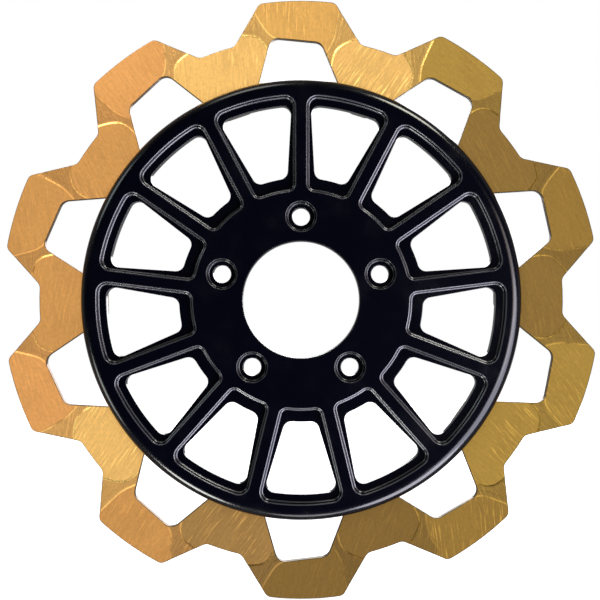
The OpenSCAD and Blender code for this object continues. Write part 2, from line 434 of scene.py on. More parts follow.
# How finely the ring's faces are divided, and where the reliefs are looked for
ringMesh = {
    "lobeSteps": 7, "holeSteps": 20, "edgeGap": 0.7, "holeGap": 1.5, "seamGap": 3.0, "stepCount": 60,
    "curveGap": 0.4, "curvePast": 4, "nearRails": (0, -0.14, 0.2, 0.5, 0.9, 1.4),
    "farRails": (1.2, 0.6, 0.2, 0), "railPast": 0.2, "railGap": 0.22, "floorGap": 0.3,
    "grid": 0.5, "gridWidth": 66, "gridHeight": 30, "tabTop": 116, "reliefFoot": 112,
    "reliefSides": (10, 34), "archSides": (-14, 3), "archTop": 136,
    "sideSplit": 5, "flatness": 0.02, "frontLayer": 1.5,
}

# Edges of the milled reliefs on one lobe, which stands upright with its high window corner on the left:
# where each relief leaves the lobe's land, and where it leaves the leg's land
reliefEdges = {
    "highOuter": [(-20.9, 144.1), (-18.1, 139.5), (-14.9, 134.8), (-11.8, 132.3), (-8.0, 131.4),
                  (-3.0, 130.5)],
    "highInner": [(-27.7, 132.3), (-22.3, 132.0), (-18.6, 129.9), (-16.4, 126.7), (-15.6, 125.0)],
    "lowOuter": [(20.5, 144.4), (19.2, 137.7), (18.0, 132.0), (16.4, 128.3), (14.9, 125.7)],
    "lowInner": [(28.9, 129.8), (24.6, 128.1), (20.5, 125.4), (18.4, 122.0), (17.5, 118.0)],
}


def ringPaths(s, fine):
    half = 180 / s["lobes"]
    v, o = s["valleyRadius"], s["outerRadius"]
    valleyStep = 2 * (half - s["valleyHalf"]) / 3
    outer = [polar(v * math.cos(math.radians(valleyStep / 2)), 90 - half),
             polar(v, 90 - half + valleyStep / 2)]
    corners = [polar(v, 90 - s["valleyHalf"]), polar(o, 90 - s["lobeHalf"])]
    n = fine["lobeSteps"]
    arcPoints = [polar(o, 90 - s["lobeHalf"] + 2 * s["lobeHalf"] * k / n) for k in range(1, n)]
    outer += roundCorner(outer[-1], corners[0], corners[1], s["valleyRound"])
    outer += roundCorner(corners[0], corners[1], arcPoints[0], s["lobeRound"])
    outer += arcPoints[:n // 2]
    outer += [Vector((-p.x, p.y)) for p in reversed(outer)]

    def tabCorner(side, width):
        a = half - math.degrees(math.atan(width / s["tabEnd"]))
        return polar(math.hypot(s["tabEnd"], width), 90 + side * a)
    stops = [polar(s["tabEnd"], 90 + half), tabCorner(1, s["wideTab"]),
             polar(s["highRadius"], 90 + s["highHalf"]), polar(s["lowRadius"], 90 - s["lowHalf"]),
             tabCorner(-1, s["narrowTab"]), polar(s["tabEnd"], 90 - half)]
    rounds = [0, s["tabRound"], s["windowRound"], s["windowRound"], s["tabRound"], 0]
    inner = [stops[0]]
    for k in range(1, 5):
        inner += roundCorner(stops[k - 1], stops[k], stops[k + 1], rounds[k])
    inner.append(stops[5])
    holes = []
    for side in (1, -1):
        u, w = polar(side, 90 + side * half), polar(1, 90 + side * (half - 90))
        c = polar(s["driveRadius"], 90 + side * half)
        turns = [math.pi * k / fine["holeSteps"] for k in range(fine["holeSteps"] + 1)]
        holes.append([c + s["holeRadius"] * (u * math.cos(a) + w * math.sin(a)) for a in turns])
    return outer, holes[0], inner, holes[1]


# Normals into the metal along a path that starts and ends on the sector's two straight sides
def inwardNormals(path, startAxis, endAxis):
    def mirrored(p, axis):
        return 2 * p.dot(axis) * axis - p
    ring = [mirrored(path[1], startAxis)] + path + [mirrored(path[-2], endAxis)]
    normals = []
    for a, b, c in zip(ring, ring[1:], ring[2:]):
        first, second = leftOf((b - a).normalized()), leftOf((c - b).normalized())
        n = (first + second).normalized()
        normals.append(n / max(0.5, n.dot(first)))
    return normals


# Extra points where a path crosses a radius
def cutAtRadius(path, radius):
    out = [path[0]]
    for a, b in zip(path, path[1:]):
        if (a.length - radius) * (b.length - radius) < 0:
            out.append(a.lerp(b, (radius - a.length) / (b.length - a.length)))
        out.append(b)
    return out


def makeRingSector(s, fine):
    half = 180 / s["lobes"]
    left, right = polar(1, 90 + half), polar(1, 90 - half)
    curves = {k: smoothCurve(p, fine["curveGap"], fine["curvePast"]) for k, p in reliefEdges.items()}
    # each relief lies on the right of its first curve and on the left of its second, or the other way round
    reliefs = [(curves["highOuter"], -1, curves["highInner"], 1),
               (curves["lowOuter"], 1, curves["lowInner"], -1)]

    def trough(d, width):
        r = (width * width / 4 + s["grooveDepth"] ** 2) / (2 * s["grooveDepth"])
        return math.sqrt(r * r - (d - width / 2) ** 2) - (r - s["grooveDepth"]) if 0 < d < width else 0

    # Distances into the nearer relief from its outer and its inner edge
    def intoRelief(p):
        outer, outerSign, inner, innerSign = reliefs[0 if p.x < fine["sideSplit"] else 1]
        return besideCurve(outer, p) * outerSign, besideCurve(inner, p) * innerSign

    def reliefAt(p):
        (near, far), (low, high) = fine["reliefSides"], fine["archSides"]
        inArch = low < p.x < high and p.y < fine["archTop"]
        if p.y < fine["reliefFoot"] or not near < abs(p.x) < far and not inArch:
            return 0.0
        a, b = intoRelief(p)
        if a <= 0 or b <= 0:
            return 0.0
        depth = max(trough(a, s["outerGroove"]), trough(b, s["innerGroove"]))
        if a > s["outerGroove"] / 2 and b > s["innerGroove"] / 2:
            wobble = math.sin(p.x * 2.3 + p.y * 1.1) * math.sin(p.y * 2.9 - p.x * 0.7)     # cutter marks
            depth = max(depth, s["islandDepth"] + s["islandWobble"] * wobble)
        return depth

    def backAt(p):
        rise = (p.length - s["stepRadius"]) / s["stepRamp"]
        return -s["thickness"] + s["stepHeight"] * max(0.0, min(1.0, 0.5 - rise / 2))

    shell = Shell()
    axes = [(right, left), (left, left), (left, right), (right, right)]
    gaps = [fine["edgeGap"], fine["holeGap"]] * 2
    frontLoops, e = [], s["edge"]
    for path, (a, b), gap in zip(ringPaths(s, fine), axes, gaps):
        path = spread(path, gap)
        for side in (-s["stepRamp"], s["stepRamp"]):
            path = cutAtRadius(path, s["stepRadius"] + side)
        normals = inwardNormals(path, a, b)

        def insetLoop(distance, heights, down):
            return [(p.x + n.x * distance, p.y + n.y * distance, z - down)
                    for p, n, z in zip(path, normals, heights)]
        inset = [p + n * (e + s["support"]) for p, n in zip(path, normals)]
        tops, backs = [-reliefAt(q) for q in inset], [backAt(p) for p in path]
        rounds = quarterRound(s["edgeSteps"])
        loops = [[(q.x, q.y, t) for q, t in zip(inset, tops)]]
        loops += [insetLoop(e * share, tops, e * drop) for share, drop in rounds]
        loops += [insetLoop(e * share, backs, -e * drop) for share, drop in reversed(rounds)]
        loops.append([(q.x, q.y, backAt(q)) for q in inset])
        shell.stack(loops, closed=False)
        frontLoops.append(inset)
    outer, leftHole, inner, rightHole = frontLoops

    def between(a, b):
        n = max(1, round((b - a).length / fine["seamGap"]))
        return [a.lerp(b, k / n) for k in range(1, n)]
    outline = (outer + between(outer[-1], leftHole[0]) + leftHole + between(leftHole[-1], inner[0]) + inner
               + between(inner[-1], rightHole[0]) + rightHole + between(rightHole[-1], outer[0]))
    inside = insideTest(outline)
    taken = {}

    # Keeps a point only if none is nearer than gap
    def claim(p, gap):
        cell = (round(p.x), round(p.y))
        for dx in (-1, 0, 1):
            for dy in (-1, 0, 1):
                if any((p - q).length < gap for q in taken.get((cell[0] + dx, cell[1] + dy), ())):
                    return False
        taken.setdefault(cell, []).append(p)
        return True

    for p in outline:
        claim(p, 0)
    loose = []
    for relief in reliefs:
        for (curve, sign, other, otherSign), width in ((relief, s["outerGroove"]),
                                                       (relief[2:] + relief[:2], s["innerGroove"])):
            for off in (*fine["nearRails"], width / 2, *(width - back for back in fine["farRails"])):
                for a, b in zip(curve, curve[1:]):
                    p = a + leftOf((b - a).normalized()) * off * sign
                    beside = besideCurve(other, p) * otherSign > -fine["railPast"]
                    if beside and inside(p) and claim(p, fine["railGap"]):
                        loose.append(p)
    step = fine["grid"]
    for row in range(int(fine["gridHeight"] / step)):
        for column in range(int(fine["gridWidth"] / step)):
            across = column * step + (row % 2) * step / 2 - fine["gridWidth"] / 2
            p = Vector((across, fine["tabTop"] + row * step))
            if reliefAt(p) > 0 and inside(p) and claim(p, fine["floorGap"]):
                loose.append(p)
    shell.sheet(outline, [], lambda p: -reliefAt(p), loose)
    stepPoints = [polar(s["stepRadius"] + side, 90 - half + 2 * half * k / fine["stepCount"])
                  for side in (-s["stepRamp"], s["stepRamp"]) for k in range(1, fine["stepCount"])]
    shell.sheet(outline, [], backAt, [p for p in stepPoints if inside(p)])
    mesh = shell.mesh("ringSector")
    milled, edge, land, cut = addMarks(mesh, "milled", "edge", "legLand", "cutHighlight")

    # 1 on the sharp line where a relief was cut into a land, fading to 0 beside it; the colour is brightened
    # there as a painted highlight
    def cutAt(p):
        a, b = intoRelief(p)
        band = s["cutBand"]
        return max(s["outerCut"] * (1 - abs(a - band) / band), 1 - abs(b - band) / band, 0.0)
    for k, v in enumerate(mesh.vertices):
        p = Vector((v.co.x, v.co.y))
        depth = reliefAt(p)
        inner, innerSign = reliefs[0 if p.x < 0 else 1][2:]
        onBack = v.co.z < fine["flatness"] - s["thickness"] + s["stepHeight"]
        atFront = v.co.z > -fine["frontLayer"]
        onLeg = p.y < fine["tabTop"] or besideCurve(inner, p) * innerSign <= 0
        milled.data[k].value = min(1.0, depth / s["milledFrom"]) if atFront else 0.0
        edge.data[k].value = 0.0 if abs(v.co.z + depth) < fine["flatness"] or onBack else 1.0
        cut.data[k].value = cutAt(p) if atFront and depth > 0 else 0.0
        land.data[k].value = 1.0 if onLeg else (0.5 if depth > 0 else 0.0)
    return mesh


# Named numbers on a mesh's points; all are added before any is filled in
def addMarks(mesh, *names, kind="FLOAT"):
    for name in names:
        mesh.attributes.new(name, kind, "POINT")
    return [mesh.attributes[name] for name in names]


# Test for points inside an outline, kept a little clear of it
def insideTest(outline):
    closed = outline + [outline[0]]
    pairs = list(zip(closed, closed[1:]))

    def inside(p, clear=0.2):
        crossings = 0
        for a, b in pairs:
            if (a.y > p.y) != (b.y > p.y) and p.x < a.x + (p.y - a.y) * (b.x - a.x) / (b.y - a.y):
                crossings += 1
            if abs(a.x - p.x) < clear and abs(a.y - p.y) < clear:
                return False
        return crossings % 2 == 1
    return inside


# Gold coated steel: each land was brushed by hand in its own direction. Each land's tone is partly its own
# and partly painted light and shade, lighter at the upper left and darker at the bottom and right
goldTonesAndLight = {
    "light": linear(224, 171, 92),
    "bright": linear(240, 190, 110),
    "peach": linear(226, 161, 92),
    "amber": linear(208, 150, 82),
    "brown": linear(166, 127, 70),
    "olive": linear(158, 123, 54),
    "dull": linear(146, 113, 52),
    "dark": linear(136, 104, 47),
    "yellow": linear(178, 142, 63),
}

# Anticlockwise from the top: (tone with painted light and shade, brushing direction in degrees from upright,
# strength of its painted streak highlights)
lobeLands = [
    ("light", 4, 0.5), ("peach", 35, 0.2), ("amber", 10, 0.2), ("peach", 20, 0.25), ("amber", -25, 0.35),
    ("dark", -15, 0.3), ("olive", 12, 1.0), ("yellow", 40, 0.5), ("olive", 25, 0.25), ("yellow", 50, 0.2),
]
legLands = [
    ("bright", 6, 0.6), ("amber", 30, 0.3), ("amber", -5, 0.3), ("bright", -28, 0.8), ("brown", -32, 0.9),
    ("dark", -20, 0.3), ("yellow", 48, 1.0), ("dull", 15, 0.3), ("dull", 30, 0.3), ("bright", -30, 1.0),
]


def toneAndLightLands(piece, clocking):
    mesh = piece.data
    addMarks(mesh, "landToneAndLight", kind="FLOAT_COLOR")
    brush, streakSheen = addMarks(mesh, "brushTurn", "paintedStreakSheen")
    tone, share = mesh.attributes["landToneAndLight"], mesh.attributes["legLand"]
    pitch = 360 / len(lobeLands)
    for k, v in enumerate(mesh.vertices):
        a = (math.degrees(math.atan2(v.co.z, v.co.x)) - 90 - clocking) % 360
        lobe = lobeLands[round(a / pitch) % len(lobeLands)]
        leg = legLands[math.floor(a / pitch) % len(legLands)]
        t = share.data[k].value
        first, second = Vector(goldTonesAndLight[lobe[0]]), Vector(goldTonesAndLight[leg[0]])
        # Land tones carry painted light and shade as well as the lands' own tone
        tone.data[k].color = first.lerp(second, t)
        brush.data[k].value = math.radians(lobe[1] + (leg[1] - lobe[1]) * t)
        # How strongly the land's brushed streaks are brightened as a painted highlight
        streakSheen.data[k].value = lobe[2] + (leg[2] - lobe[2]) * t


goldFinish = {
    "metallic": 0.7, "roughness": 0.4, "roughSpread": 0.07, "milledGloss": -0.1,
    "lines": 1500.0, "lineLength": 22.0, "lineShare": 0.75,
    "crossTurn": 0.45, "crossLines": 1100.0, "crossLength": 14.0, "crossCut": 0.56, "crossShare": 0.2,
    "streakTurn": -0.1, "streakLines": 1000.0, "streakLength": 14.0, "streakCut": 0.53, "streakShine": 1.3,
    "patchSize": 0.02, "rippleSize": 0.0016, "highlightMottleSize": 0.009,
    "milledShade": 0.76, "edgeShade": 0.24, "cutShine": 1.9,
    "stain": linear(120, 84, 44), "stainShare": 0.12,
    "bump": 0.4, "bumpDepth": 0.00006, "milledBump": 2.0,
}


def makeGold(f):
    material, tree, shader, coords = newMaterial("ringGold", Metallic=f["metallic"], Roughness=f["roughness"])
    turn, milled, edge = marked(tree, "brushTurn"), marked(tree, "milled"), marked(tree, "edge")
    marks = brushed(tree, coords, turn, f["lines"], f["lineLength"])
    crossed = brushed(tree, coords, maths(tree, "ADD", turn, f["crossTurn"]), f["crossLines"],
                      f["crossLength"], f["crossCut"])
    broad = brushed(tree, coords, maths(tree, "ADD", turn, f["streakTurn"]), f["streakLines"],
                    f["streakLength"], f["streakCut"])
    lines = maths(tree, "ADD", times(tree, marks["Marks"], f["lineShare"]),
                  times(tree, crossed["Strong Marks"], f["crossShare"]))
    patches = blotches(tree, coords, f["patchSize"], 0.38, 0.62)
    ripple = blotches(tree, coords, f["rippleSize"], 0.3, 0.7)
    highlightMottle = blotches(tree, coords, f["highlightMottleSize"], 0.3, 0.55)
    # Painted highlight: brushed streaks made brighter in patches, standing in for the sheen of light along
    # the brushing
    lit = times(tree, broad["Strong Marks"], marked(tree, "paintedStreakSheen"), patches, f["streakShine"])
    shade = times(tree, ranged(tree, lines, 0.2, 0.75, 0.78, 1.14, smooth=False),
                  ranged(tree, ripple, 0.0, 1.0, 0.94, 1.08, smooth=False))
    # Painted shade: relief floors are darker
    shade = times(tree, maths(tree, "ADD", shade, lit), ranged(tree, milled, 0.0, 1.0, 1.0, f["milledShade"]))
    # Painted highlight along each relief's cut edge, broken up by soft blotches
    shade = maths(tree, "ADD", shade, times(tree, marked(tree, "cutHighlight"), highlightMottle, f["cutShine"]))
    # Painted shade: the ring's walls and rounded edges are darker
    shade = times(tree, shade, ranged(tree, edge, 0.0, 1.0, 1.0, f["edgeShade"]))
    grey = addNode(tree, "ShaderNodeCombineColor", {0: shade, 1: shade, 2: shade})
    # Each land's tone, which carries painted light and shade, times the brightness worked out above
    colour = mixed(tree, 1.0, marked(tree, "landToneAndLight", "Color"), grey, "MULTIPLY")
    colour = mixed(tree, times(tree, patches, f["stainShare"]), colour, f["stain"])
    rough = maths(tree, "ADD", ranged(tree, lines, 0.2, 0.8, f["roughness"] - f["roughSpread"],
                                      f["roughness"] + f["roughSpread"], smooth=False),
                  times(tree, milled, f["milledGloss"]))
    height = maths(tree, "ADD", lines, times(tree, ripple, milled, f["milledBump"]))
    feed(tree, shader, Base_Color=colour, Roughness=rough,
         Normal=bumped(tree, height, f["bump"], f["bumpDepth"]))
    return material


ring = makePiece("brakeRing", {
    "Sector": (makeRingSector(ringSizes, ringMesh), ringSizes["lobes"], ringSizes["clocking"], 1.0),
}, makeGold(goldFinish), crease=14)
toneAndLightLands(ring, ringSizes["clocking"])
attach(ring, "ring")
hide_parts("brake_ring")
print("brake ring done")


carrierSizes = {
    "radius": 109.7, "thickness": 9.5, "rimRound": 5.5, "rimSteps": 14, "rimCount": 312, "backChamfer": 0.5,
    "spokes": 13,
    "pocketOuter": 101.9, "pocketInner": 53.4, "pocketOff": 2.4, "pocketDepth": 3.0,
    "pocketRoundOuter": 5.7, "pocketRoundInner": 4.5, "topRound": 0.75, "footRound": 0.85,
    "wallSlope": 80, "wallSteps": 5, "floorRun": 0.05,
    "holeOuter": 96.7, "holeInner": 60.6, "holeOffOuter": 4.8, "holeOffInner": 6.8, "holeRound": 4.3,
    "holeEdge": 0.3, "holeRun": 0.04, "holeSteps": 3, "backEdge": 0.4,
    "bore": 29.0, "boreChamfer": 0.5, "boreCount": 120, "smallChamfer": 0.3,
    "padRadius": 52.0, "padHeight": 0.5, "padEdge": 0.2, "padCount": 120,
    "bolts": 5, "boltCircle": 41.275, "boltHole": 4.4, "boltEdge": 0.4, "boltRun": 0.5, "boltCount": 48,
    "boreTop": 7.9, "boreFloor": 3.5, "boreTopRound": 0.5, "boreFootRound": 0.8, "boreSheen": 0.3,
    "seats": 10, "seatCircle": 104.0, "seatRadius": 4.25, "seatDepth": 2.0, "tapRadius": 2.5,
    "tapDepth": 5.5, "seatTurn": 18.75, "seatCount": 32,
    "support": 0.15,
}

# How many pieces each stretch of a space's half outline is divided into
baySteps = {"inner": 5, "lowArc": 6, "side": 4, "highArc": 7, "outer": 9}


# Outline of a space between two spokes, standing upright on the axis, with its sides off the spokes' middles
def bayLoop(outer, inner, offOuter, offInner, roundOuter, roundInner, pitch):
    h = math.radians(pitch / 2)
    s, n = Vector((math.sin(h), math.cos(h))), Vector((-math.cos(h), math.sin(h)))
    top = s * math.sqrt(outer ** 2 - offOuter ** 2) + n * offOuter
    foot = s * math.sqrt(inner ** 2 - offInner ** 2) + n * offInner
    d = (top - foot).normalized()
    m = leftOf(d)

    def filletCentre(fillet, reach):
        start = foot + m * fillet
        b = start.dot(d)
        return start + d * (-b + math.sqrt(b * b - start.length_squared + reach * reach))
    low, high = filletCentre(roundInner, inner + roundInner), filletCentre(roundOuter, outer - roundOuter)
    lowArc = arcAround(low, low.normalized() * -roundInner, m * -roundInner, baySteps["lowArc"])
    highArc = arcAround(high, m * -roundOuter, high.normalized() * roundOuter, baySteps["highArc"])

    def arcTo(radius, a, b, steps):
        return [polar(radius, a + (b - a) * k / steps) for k in range(steps)]
    lowAngle = math.degrees(math.atan2(low.y, low.x))
    highAngle = math.degrees(math.atan2(high.y, high.x))
    n = baySteps["side"]
    side = [lowArc[-1].lerp(highArc[0], k / n) for k in range(1, n)]
    halfLoop = arcTo(inner, 90, lowAngle, baySteps["inner"]) + lowArc + side + highArc
    halfLoop += list(reversed(arcTo(outer, 90, highAngle, baySteps["outer"])))
    return halfLoop + [Vector((-p.x, p.y)) for p in reversed(halfLoop[1:-1])]


def pocketLoop(s, inset):
    return bayLoop(s["pocketOuter"] - inset, s["pocketInner"] + inset, s["pocketOff"] + inset,
                   s["pocketOff"] + inset, s["pocketRoundOuter"] - inset, s["pocketRoundInner"] - inset,
                   360 / s["spokes"])


def holeLoop(s, grow):
    return bayLoop(s["holeOuter"] + grow, s["holeInner"] - grow, s["holeOffOuter"] - grow,
                   s["holeOffInner"] - grow, s["holeRound"] + grow, s["holeRound"] + grow, 360 / s["spokes"])


# (inset, height) steps down a rounded edge, a steep wall and a hollow foot
def pocketWall(s, depth, topRound, footRound):
    a, n, top = math.radians(s["wallSlope"]), s["wallSteps"], s["thickness"]
    steps = [(-s["support"], top)]
    steps += [(topRound * math.sin(a * k / n), top - topRound * (1 - math.cos(a * k / n)))
              for k in range(n + 1)]
    x, z = steps[-1]
    z2 = top - depth + footRound * (1 - math.cos(a))
    x2 = x + (z - z2) / math.tan(a)
    centre = x2 + footRound * math.sin(a)
    steps += [(centre - footRound * math.sin(a * (1 - k / n)),
               top - depth + footRound * (1 - math.cos(a * (1 - k / n)))) for k in range(n + 1)]
    return steps + [(centre + s["floorRun"], top - depth)]


sheenBand = {"top": 0.6, "foot": 0.45, "clear": 0.01}     # shares of the roundings, and millimetres


# Brighter, more metallic metal on the rounded top edge and the hollow foot of a wall, which makes the lamps'
# highlight lines there stronger: partly painted highlight, partly real reflection
def sheenEdges(mesh, top, depth, topRound, footRound, amount=1.0):
    edgeSheen = addMarks(mesh, "edgeSheen")[0]
    for k, v in enumerate(mesh.vertices):
        drop = top - v.co.z
        onTop = sheenBand["clear"] < drop < topRound * sheenBand["top"]
        onFoot = depth - footRound * sheenBand["foot"] < drop < depth - sheenBand["clear"]
        edgeSheen.data[k].value = amount if onTop or onFoot else 0.0


def makeWindowCell(s):
    shell = Shell()
    floor = s["thickness"] - s["pocketDepth"]
    rounds = (s["pocketDepth"], s["topRound"], s["footRound"])
    loops = [lifted(pocketLoop(s, inset), z) for inset, z in pocketWall(s, *rounds)]
    e = s["holeEdge"]
    loops.append(lifted(holeLoop(s, e + s["holeRun"]), floor))
    loops += [lifted(holeLoop(s, e * share), floor - e * drop)
              for share, drop in quarterRound(s["holeSteps"])]
    loops.append(lifted(holeLoop(s, 0), s["backEdge"]))
    loops.append(lifted(holeLoop(s, s["backEdge"]), 0))
    shell.stack(loops)
    mesh = shell.mesh("windowCell")
    sheenEdges(mesh, s["thickness"], *rounds)
    return mesh


def makeBoltCell(s):
    shell = Shell()
    floor, bolt, e = s["thickness"] - s["boreFloor"], s["boltHole"], s["boltEdge"]
    rounds = (s["boreFloor"], s["boreTopRound"], s["boreFootRound"])
    profile = [(s["boreTop"] - inset, z) for inset, z in pocketWall(s, *rounds)]
    profile += [(bolt + s["boltRun"], floor)]
    profile += [(bolt + e * share, floor - e * drop) for share, drop in quarterRound(s["holeSteps"])]
    profile += [(bolt, s["smallChamfer"] - s["padHeight"]), (bolt + s["smallChamfer"], -s["padHeight"])]
    shell.stack(turned(profile, s["boltCount"], (0, s["boltCircle"])))
    mesh = shell.mesh("boltCell")
    sheenEdges(mesh, s["thickness"], *rounds, s["boreSheen"])
    return mesh


def makeSeatCell(s):
    shell = Shell()
    centre = (0, s["seatCircle"])
    profile = [(s["seatRadius"], 0), (s["seatRadius"], s["seatDepth"]), (s["tapRadius"], s["seatDepth"]),
               (s["tapRadius"], s["tapDepth"])]
    loops = turned(profile, s["seatCount"], centre)
    shell.stack(loops)
    shell.cap(loops[-1])
    return shell.mesh("seatCell")


def spun(loop, degrees):
    a = math.radians(degrees)
    c, s = math.cos(a), math.sin(a)
    return [Vector((p.x * c - p.y * s, p.x * s + p.y * c)) for p in loop]


def repeatedLoops(loop, count, firstTurn):
    return [spun(loop, firstTurn + 360 * k / count) for k in range(count)]


def makeCarrierPlates(s):
    shell = Shell()
    rim, top, pad, pitch = s["radius"], s["thickness"], s["padHeight"], 360 / s["spokes"]
    small, chamfer, support = s["smallChamfer"], s["backChamfer"], s["support"]
    corner = (rim - s["rimRound"], top - s["rimRound"])
    profile = [(rim - chamfer, 0), (rim, chamfer), (rim, chamfer + small)]
    for k in range(s["rimSteps"] + 1):
        a = math.pi / 2 * k / s["rimSteps"]
        profile.append((corner[0] + s["rimRound"] * math.cos(a), corner[1] + s["rimRound"] * math.sin(a)))
    profile.append((corner[0] - support, top))
    shell.stack(turned(profile, s["rimCount"]))
    c, bore = s["boreChamfer"], s["bore"]
    shell.stack(turned([(bore + c + support, top), (bore + c, top), (bore, top - c), (bore, small - pad),
                        (bore + small, -pad)], s["boreCount"]))
    shell.stack(turned([(s["padRadius"] - s["padEdge"], -pad), (s["padRadius"], s["padEdge"] - pad),
                        (s["padRadius"], 0)], s["padCount"]))

    def boltRounds(radius):
        return repeatedLoops(circle(radius, s["boltCount"], (0, s["boltCircle"])), s["bolts"], 0)
    windowTops = repeatedLoops(pocketLoop(s, -support), s["spokes"], pitch / 2)
    boreTop = circle(bore + c + support, s["boreCount"])
    shell.sheet(circle(corner[0] - support, s["rimCount"]),
                windowTops + boltRounds(s["boreTop"] + support) + [boreTop], lambda p: top)
    windowBacks = repeatedLoops(holeLoop(s, s["backEdge"]), s["spokes"], pitch / 2)
    seats = repeatedLoops(circle(s["seatRadius"], s["seatCount"], (0, s["seatCircle"])),
                          s["seats"], s["seatTurn"])
    shell.sheet(circle(rim - chamfer, s["rimCount"]),
                windowBacks + seats + [circle(s["padRadius"], s["padCount"])], lambda p: 0.0)
    shell.sheet(circle(s["padRadius"] - s["padEdge"], s["padCount"]),
                boltRounds(s["boltHole"] + small) + [circle(bore + small, s["boreCount"])], lambda p: -pad)
    return shell.mesh("carrierPlates")


# Black coat over machined metal, nearly smooth, with a faint blue cast
carrierFinish = {
    "black": (0.0005, 0.0006, 0.0035, 1.0), "dusty": (0.0018, 0.002, 0.005, 1.0), "dustSize": 0.02,
    "dustShare": 0.5, "edgeSheen": (0.2, 0.2, 0.22, 1.0), "edgeSheenShare": 0.6,
    "roughLow": 0.18, "roughHigh": 0.26, "coatLow": 0.25, "coatHigh": 0.35, "coatRoughness": 0.14,
    "grainSize": 0.0007, "bump": 0.05, "bumpDepth": 0.00003,
    "rubTurn": 0.8, "rubLines": 700.0, "rubLength": 40.0, "rubCut": 0.62, "rubRoughness": 0.06,
}


def makeCarrierBlack(f):
    material, tree, shader, coords = newMaterial("carrierBlack", Metallic=0.0, Roughness=f["roughLow"])
    shader.inputs["Coat Roughness"].default_value = f["coatRoughness"]
    dust = blotches(tree, coords, f["dustSize"], 0.4, 0.8)
    grain = blotches(tree, coords, f["grainSize"], 0.3, 0.7)
    rubs = brushed(tree, coords, f["rubTurn"], f["rubLines"], f["rubLength"], f["rubCut"])["Strong Marks"]
    # Painted highlight in part: a lighter, metallic band on the top edges and hollow feet, which the lamps
    # light up
    edgeSheen = times(tree, marked(tree, "edgeSheen"), f["edgeSheenShare"])
    colour = mixed(tree, times(tree, dust, f["dustShare"]), f["black"], f["dusty"])
    colour = mixed(tree, edgeSheen, colour, f["edgeSheen"])
    rough = maths(tree, "ADD", ranged(tree, dust, 0.0, 1.0, f["roughLow"], f["roughHigh"]),
                  times(tree, rubs, f["rubRoughness"]))
    height = times(tree, grain, maths(tree, "SUBTRACT", 1.0, edgeSheen))
    feed(tree, shader, Base_Color=colour, Roughness=rough, Metallic=edgeSheen,
         Coat_Weight=ranged(tree, grain, 0.0, 1.0, f["coatLow"], f["coatHigh"]),
         Normal=bumped(tree, height, f["bump"], f["bumpDepth"]))
    return material


s = carrierSizes
carrier = makePiece("rotorCarrier", {
    "Plates": (makeCarrierPlates(s), 1, 0.0, 0.0),
    "Window": (makeWindowCell(s), s["spokes"], 180 / s["spokes"], 0.0),
    "Bolt Hole": (makeBoltCell(s), s["bolts"], 0.0, 0.0),
    "Bush Seat": (makeSeatCell(s), s["seats"], s["seatTurn"], 0.0),
}, makeCarrierBlack(carrierFinish), crease=34)
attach(carrier, "carrier")
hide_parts("carrier")
print("carrier done")


driveSizes = {
    "count": 10, "circle": 104.0, "turn": 18.75, "roundCount": 48, "cornerShare": 0.3,
    "bushRadius": 4.25, "bushBore": 2.6, "bushFront": 2.0, "bushEdge": 0.25,
    "washerRadius": 6.3, "washerFront": -6.0, "washerEdge": 0.15, "headFront": -7.0,
    "waveBack": -6.0, "waveHeight": 1.2, "waveStrip": 0.4, "waveInner": 4.6, "waveOuter": 6.1,
    "waves": 3, "waveSteps": 72, "waveSlack": 0.025, "waveEdge": 0.08,
    "screwRadius": 2.45, "screwFront": 4.5, "screwChamfer": 0.4,
    "headRadius": 4.75, "headHeight": 2.75, "headSeat": 0.2, "headLip": (0.03, 0.1), "domeSteps": 11,
    "socketRadius": 1.65, "socketDepth": 1.6, "socketRim": 0.22, "socketChamfer": 0.15,
    "drillRadius": 0.15, "drillDepth": 0.6,
}


def makeTube(s, name, low, high):
    shell = Shell()
    outer, inner, edge = s[name + "Radius"], s["bushBore"], s[name + "Edge"]
    c = s["cornerShare"] * edge
    profile = [(inner, low + edge), (inner + edge, low), (outer - edge, low), (outer - c, low + c),
               (outer, low + edge), (outer, high - edge), (outer - c, high - c),
               (outer - edge, high), (inner + edge, high), (inner, high - edge), (inner, low + edge)]
    shell.stack(turned(profile, s["roundCount"], (0, s["circle"])))
    return shell.mesh(name + "Tube")


def makeWaveWasher(s):
    shell = Shell()
    rise = (s["waveHeight"] - s["waveStrip"]) / 2 - s["waveSlack"]
    middle = s["waveBack"] + s["waveHeight"] / 2
    half, e, inner, outer = s["waveStrip"] / 2, s["waveEdge"], s["waveInner"], s["waveOuter"]
    section = [(inner, -half + e), (inner + e, -half), (outer - e, -half), (outer, -half + e),
               (outer, half - e), (outer - e, half), (inner + e, half), (inner, half - e)]
    turns = [360 * k / s["waveSteps"] for k in range(s["waveSteps"])]
    loops = []
    for r, z in section + section[:1]:
        points = [(Vector((0, s["circle"])) + polar(r, a + 90), math.radians(s["waves"] * a)) for a in turns]
        loops.append([(p.x, p.y, middle + rise * math.cos(wave) + z) for p, wave in points])
    shell.stack(loops)
    return shell.mesh("waveWasher")


